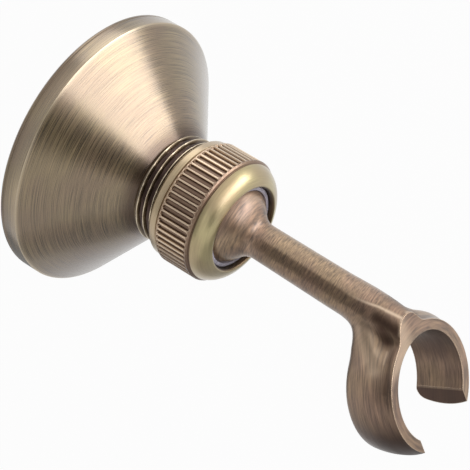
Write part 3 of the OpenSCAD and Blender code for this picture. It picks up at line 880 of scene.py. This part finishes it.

# %% [markdown]
# ## Finish of the nut
#
# The nose and the rear collar were polished after bronzing and show the yellow metal. The slots kept
# their brown, with painted shade along their walls, and the thin ridges between them are lightened
# almost to white, partly as wear and partly as a painted highlight. Painted shade darkens the lower
# side of the band, its front step, the groove before the nose and the inside of the mouth.

# %% Nut material
def make_nut_material():
    material, tree, shader = new_material("yellow_brass_milled", 0.3, Anisotropic=0.4, Anisotropic_Rotation=0.25,
                                          Coat_Roughness=0.3)
    place = about_axis(tree, (0, 0, 0), out_turn)
    lines = group(tree, brushed_lines, {"Position": place, "Lines per mm": 3.4, "Sweep": 1.5})
    hollow = node(tree, "ShaderNodeAttribute", attribute_name="hollow").outputs["Fac"]
    wear_and_highlight = node(tree, "ShaderNodeAttribute", attribute_name="wear_and_highlight").outputs["Fac"]
    along = node(tree, "ShaderNodeSeparateXYZ", {0: place}).outputs[2]
    collar = ramp(tree, along, (GRIP_START - 0.2) * MM, (GRIP_START - 0.6) * MM)
    band = maths(tree, "MULTIPLY", ramp(tree, along, (GRIP_START - 0.6) * MM, (GRIP_START - 0.2) * MM),
                 ramp(tree, along, (GRIP_END + 0.4) * MM, (GRIP_END + 0.1) * MM))
    polished = mix_colour(tree, collar, linear(176, 163, 119), linear(178, 157, 127))
    metal = mix_colour(tree, band, polished, linear(158, 132, 105))
    bronze = mix_colour(tree, band, linear(162, 143, 108), linear(140, 112, 90))
    # Dark goes on the slots, with painted shade at their walls, and as painted shade on the band's lower side, its
    # front step, the groove and the mouth; Edge goes on the ridges as wear and painted highlight.
    tone = group(tree, bronzed_tone, {
        "Metal": metal, "Bronze": bronze, "Dark": linear(74, 49, 36), "Edge": linear(232, 210, 182),
        "Lines": lines.outputs["Lines"], "Streaks": lines.outputs["Streaks"],
        "Clouds": lines.outputs["Clouds"], "Line contrast": 0.6,
        "Patina and shade": hollow, "Wear and highlight": wear_and_highlight})
    tree.links.new(tone.outputs["Color"], shader.inputs["Base Color"])
    tree.links.new(ramp(tree, lines.outputs["Clouds"], 0.3, 0.7, 0.3, 0.41), shader.inputs["Roughness"])
    tree.links.new(ramp(tree, hollow, 0, 1, 1, 0.35, smooth=False), shader.inputs["Coat Weight"])
    bump = node(tree, "ShaderNodeBump", {"Height": tone.outputs["Height"], "Strength": 0.35, "Distance": 1e-5})
    tree.links.new(bump.outputs[0], shader.inputs["Normal"])
    tangent = node(tree, "ShaderNodeTangent", direction_type="RADIAL", axis="Y")
    tree.links.new(tangent.outputs[0], shader.inputs["Tangent"])
    return material


nut_material = make_nut_material()
dress(nut, nut_material)

# %% [markdown]
# ## Finish of the arm
#
# The arm is brushed across its length and the cradle round its bore, so two sets of lines are mixed by
# the distance to the cradle. Its bronzing is redder than the rose's. The machine cuts leave crisp
# edges that are rubbed bright. The bore and parts of the front face are darkened with painted shade,
# and a patch of the face near the arm gets a painted highlight.

# %% Arm material
def inside_mask(tree, place):
    """Masks: bore, with painted shade deeper away from the mouth, and the darkened cut ends; outer skin; painted
    highlight on the face near the arm; painted shade on the face.
    """
    x, y, z = node(tree, "ShaderNodeSeparateXYZ", {0: place}).outputs
    radius = maths(tree, "SQRT", maths(tree, "ADD", maths(tree, "MULTIPLY", x, x), maths(tree, "MULTIPLY", y, y)))
    # Painted shade inside the bore, deeper away from the mouth.
    bore = maths(tree, "MULTIPLY", ramp(tree, radius, (BORE_R + 0.12) * MM, (BORE_R + 0.04) * MM),
                 ramp(tree, y, -3.5 * MM, 0.5 * MM, 0.55, 0.9))
    half = ramp(tree, maths(tree, "ABSOLUTE", x), (MOUTH_W / 2 + 0.1) * MM, (MOUTH_W / 2 + 0.03) * MM)
    ends = maths(tree, "MULTIPLY", half, ramp(tree, y, -4 * MM, -5 * MM))
    skin = maths(tree, "MULTIPLY", ramp(tree, z, -0.02 * MM, -0.2 * MM),
                 ramp(tree, radius, (BORE_R + 0.05) * MM, (BORE_R + 0.4) * MM))
    inner = maths(tree, "MAXIMUM", bore, maths(tree, "MULTIPLY", ends, 0.7))
    # Painted highlight on the left of the face, where the arm meets it.
    flank = maths(tree, "MULTIPLY", ramp(tree, y, 7.5 * MM, 10 * MM), ramp(tree, x, 1 * MM, -3 * MM))
    face = ramp(tree, z, -0.2 * MM, -0.02 * MM)
    # Painted shade over the face, changing across it.
    low = maths(tree, "MULTIPLY", ramp(tree, y, 9 * MM, 6 * MM, 0.18, 0.42), ramp(tree, x, 4 * MM, -4 * MM, 0.5, 1))
    low = maths(tree, "MAXIMUM", low, ramp(tree, y, 5 * MM, 9 * MM, 0, 0.28))
    return inner, skin, maths(tree, "MULTIPLY", face, flank), maths(tree, "MULTIPLY", face, low)


def make_arm_material():
    material, tree, shader = new_material("bronzed_brass_forged", 0.42, Coat_Roughness=0.36, Coat_IOR=1.65)
    by_arm = about_axis(tree, arm_origin, arm_turn)
    by_cradle = about_axis(tree, cradle_origin, cradle_turn)
    arm_lines = group(tree, brushed_lines, {"Position": by_arm, "Lines per mm": 4.0, "Sweep": 1.5,
                                            "Radial share": 0.3})
    cradle_lines = group(tree, brushed_lines, {"Position": by_cradle, "Lines per mm": 4.0, "Sweep": 1.8,
                                               "Radial share": 0.4})
    reach = node(tree, "ShaderNodeVectorMath", {0: by_cradle}, operation="LENGTH").outputs["Value"]
    share = ramp(tree, reach, 0.021, 0.016)
    mixed = {}
    for label in ("Lines", "Streaks", "Clouds"):
        made = node(tree, "ShaderNodeMix", data_type="FLOAT")
        tree.links.new(share, made.inputs[0])
        tree.links.new(arm_lines.outputs[label], made.inputs[2])
        tree.links.new(cradle_lines.outputs[label], made.inputs[3])
        mixed[label] = made.outputs[0]
    edges = group(tree, rubbed_edges, {"Width mm": 0.28})
    inner, skin, flank, face = inside_mask(tree, by_cradle)
    hollow = node(tree, "ShaderNodeAttribute", attribute_name="hollow").outputs["Fac"]
    wear_and_highlight = node(tree, "ShaderNodeAttribute", attribute_name="wear_and_highlight").outputs["Fac"]
    # Dark goes on the bore, the cut ends and parts of the face, mostly as painted shade, and on the skin by the
    # forging's darkening tint; Edge goes on worn edges, and as painted highlight on the face near the arm and by the
    # forging's lightening tint.
    dark = maths(tree, "MAXIMUM", maths(tree, "MAXIMUM", maths(tree, "MULTIPLY", inner, 0.9), face),
                 maths(tree, "MULTIPLY", hollow, skin))
    tree.links.new(ramp(tree, dark, 0, 1, 1, 0.3, smooth=False), shader.inputs["Coat Weight"])
    tone = group(tree, bronzed_tone, {
        "Metal": linear(153, 127, 97), "Bronze": linear(146, 117, 95), "Dark": linear(62, 38, 26),
        "Edge": linear(222, 196, 168), "Lines": mixed["Lines"], "Streaks": mixed["Streaks"],
        "Clouds": mixed["Clouds"], "Line contrast": 3.0, "Patina and shade": dark,
        "Wear and highlight": maths(tree, "MAXIMUM", maths(tree, "MAXIMUM", maths(tree, "MULTIPLY", edges.outputs["Mask"], 0.8),
                                            maths(tree, "MULTIPLY", flank, 0.4)),
                     maths(tree, "MULTIPLY", wear_and_highlight, skin))})
    tree.links.new(tone.outputs["Color"], shader.inputs["Base Color"])
    from_ball = node(tree, "ShaderNodeVectorMath", {0: by_arm}, operation="LENGTH").outputs["Value"]
    tree.links.new(maths(tree, "ADD", ramp(tree, mixed["Streaks"], 0.3, 0.7, 0.34, 0.46),
                         ramp(tree, from_ball, 0.016, 0.011, 0, 0.15)), shader.inputs["Roughness"])
    bump = node(tree, "ShaderNodeBump", {"Height": tone.outputs["Height"], "Strength": 0.5, "Distance": 1.6e-5,
                                         "Normal": edges.outputs["Normal"]})
    tree.links.new(bump.outputs[0], shader.inputs["Normal"])
    return material


arm_material = make_arm_material()
dress(arm, arm_material)

# %% [markdown]
# ## Plastic, rubber and plated pieces
#
# The grey seat ring shows in the nut's mouth as two thin crescents. It is moulded, so its surface has
# a faint grain and no brushing. The other inner pieces show only when the holder is taken apart or
# seen from the wall side, and each still gets a surface of its own.

# %% Moulded and plated materials
def make_grain_material(name, pale, dark, roughness, metallic, grain, depth):
    material, tree, shader = new_material(name, roughness, metallic)
    place = node(tree, "ShaderNodeTexCoord")
    coarse = node(tree, "ShaderNodeTexNoise", {"Vector": place.outputs["Object"], "Scale": grain * 0.15,
                                               "Detail": 3.0})
    fine = node(tree, "ShaderNodeTexNoise", {"Vector": place.outputs["Object"], "Scale": grain, "Detail": 2.0})
    tone = mix_colour(tree, ramp(tree, coarse.outputs[0], 0.35, 0.65), pale, dark)
    tree.links.new(tone, shader.inputs["Base Color"])
    tree.links.new(ramp(tree, fine.outputs[0], 0.3, 0.7, roughness - 0.06, roughness + 0.08),
                   shader.inputs["Roughness"])
    bump = node(tree, "ShaderNodeBump", {"Height": fine.outputs[0], "Strength": 0.4, "Distance": depth})
    tree.links.new(bump.outputs[0], shader.inputs["Normal"])
    return material


seat_material = make_grain_material("grey_seat_plastic", linear(176, 172, 184), linear(150, 146, 158), 0.42, 0.0,
                                    4200, 1.2e-5)
rubber_material = make_grain_material("black_washer_rubber", linear(42, 42, 42), linear(30, 30, 31), 0.72, 0.0,
                                      3000, 2e-5)
plate_material = make_grain_material("zinc_plated_brass", linear(188, 186, 178), linear(164, 160, 148), 0.36, 1.0,
                                     1800, 1.2e-5)
screw_material = make_grain_material("blackened_steel", linear(66, 63, 60), linear(48, 45, 42), 0.4, 1.0,
                                     2600, 1.2e-5)
for name, material in (("front_seat", seat_material), ("rear_seat", seat_material),
                       ("seat_washer", rubber_material), ("wall_plate", plate_material),
                       ("set_screw", screw_material)):
    dress(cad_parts[name], material)
    print(name, "wears", material.name)

# %% [markdown]
# ## Floor, light and background
#
# The photograph has a plain white ground, so the floor and the world are white to the camera and in
# reflections, and light the object gently otherwise. Polished metal is drawn by what it mirrors. Its
# bands were read as directions: one softbox to the front right, a wide one high at the back right, and
# dark cards at the front left and left, which a studio puts there to give metal its contrast.

# %% Floor and world
FLOOR_Z = -0.16


def seen_directly(tree):
    """1 for camera, glossy and transmission rays."""
    path = node(tree, "ShaderNodeLightPath")
    some = maths(tree, "MAXIMUM", path.outputs["Is Camera Ray"], path.outputs["Is Glossy Ray"])
    return maths(tree, "MAXIMUM", some, path.outputs["Is Transmission Ray"])


def make_floor():
    bpy.ops.mesh.primitive_plane_add(size=8, location=(0, 0, FLOOR_Z))
    floor = bpy.context.object
    floor.name = "floor"
    material = bpy.data.materials.new("pale_floor")
    material.use_nodes = True
    tree = material.node_tree
    tree.nodes.clear()
    matt = node(tree, "ShaderNodeBsdfDiffuse", {"Color": (0.86, 0.86, 0.86, 1)})
    white = node(tree, "ShaderNodeEmission", {"Color": (1, 1, 1, 1), "Strength": 1.0})
    mixed = node(tree, "ShaderNodeMixShader", {0: maths(tree, "MULTIPLY", seen_directly(tree), 0.94),
                                               1: matt.outputs[0], 2: white.outputs[0]})
    end = node(tree, "ShaderNodeOutputMaterial")
    tree.links.new(mixed.outputs[0], end.inputs[0])
    dress(floor, material)
    return floor


def make_world(ambient):
    world = bpy.data.worlds.new("studio")
    bpy.context.scene.world = world
    world.use_nodes = True
    tree = world.node_tree
    shade = tree.nodes["Background"]
    shade.inputs["Color"].default_value = (1, 1, 1, 1)
    tree.links.new(ramp(tree, seen_directly(tree), 0, 1, ambient, 1.0, smooth=False), shade.inputs["Strength"])


floor = make_floor()
make_world(0.32)

# %% Softboxes and dark cards
CENTRE = Vector((0, -0.045, 0))


def toward(azimuth, elevation):
    """Unit vector; azimuth 0 points out from the wall along -Y, 90 to the right along +X."""
    a, e = math.radians(azimuth), math.radians(elevation)
    return Vector((math.sin(a) * math.cos(e), -math.cos(a) * math.cos(e), math.sin(e)))


def softbox(name, azimuth, elevation, distance, width, height, level, colour=(1, 1, 1)):
    """An area lamp whose surface shines at level times white."""
    lamp = bpy.data.lights.new(name, "AREA")
    lamp.shape, lamp.size, lamp.size_y = "RECTANGLE", width, height
    lamp.energy = level * math.pi * width * height
    lamp.color = colour
    made = bpy.data.objects.new(name, lamp)
    bpy.context.scene.collection.objects.link(made)
    made.location = CENTRE + toward(azimuth, elevation) * distance
    made.rotation_euler = toward(azimuth, elevation).to_track_quat("Z", "Y").to_euler()
    made.visible_camera = False
    return made


def dark_card(name, azimuth, elevation, distance, width, height, grey):
    """A card that only reflections see."""
    bpy.ops.mesh.primitive_plane_add(size=1, location=CENTRE + toward(azimuth, elevation) * distance)
    card = bpy.context.object
    card.name = name
    card.scale = (width, height, 1)
    card.rotation_euler = toward(azimuth, elevation).to_track_quat("Z", "Y").to_euler()
    material = bpy.data.materials.new(name)
    material.use_nodes = True
    tree = material.node_tree
    tree.nodes.clear()
    dim = node(tree, "ShaderNodeEmission", {"Color": (grey, grey, grey, 1), "Strength": 1.0})
    end = node(tree, "ShaderNodeOutputMaterial")
    tree.links.new(dim.outputs[0], end.inputs[0])
    dress(card, material)
    card.visible_camera = card.visible_diffuse = card.visible_shadow = False
    card.visible_transmission = card.visible_volume_scatter = False
    return card


softbox("key_softbox", 27.2, 27, 1.8, 1.88, 0.74, 4.9, (1.0, 0.98, 0.99))
softbox("side_softbox", 64, 27, 1.8, 0.6, 0.74, 0.8)
softbox("back_softbox", 140, 45, 0.9, 0.5, 0.5, 1.6)
dark_card("front_left_card", -20, 14, 1.0, 0.36, 0.52, 0.02)
dark_card("left_card", -92, 30, 1.0, 0.9, 1.4, 0.3)
dark_card("low_card", 0, -60, 0.14, 0.2, 0.2, 0.5)
dark_card("rear_low_card", 191, -38, 0.15, 0.09, 0.09, 0.3)

# %% Colour view
bpy.context.scene.view_settings.view_transform = "Standard"
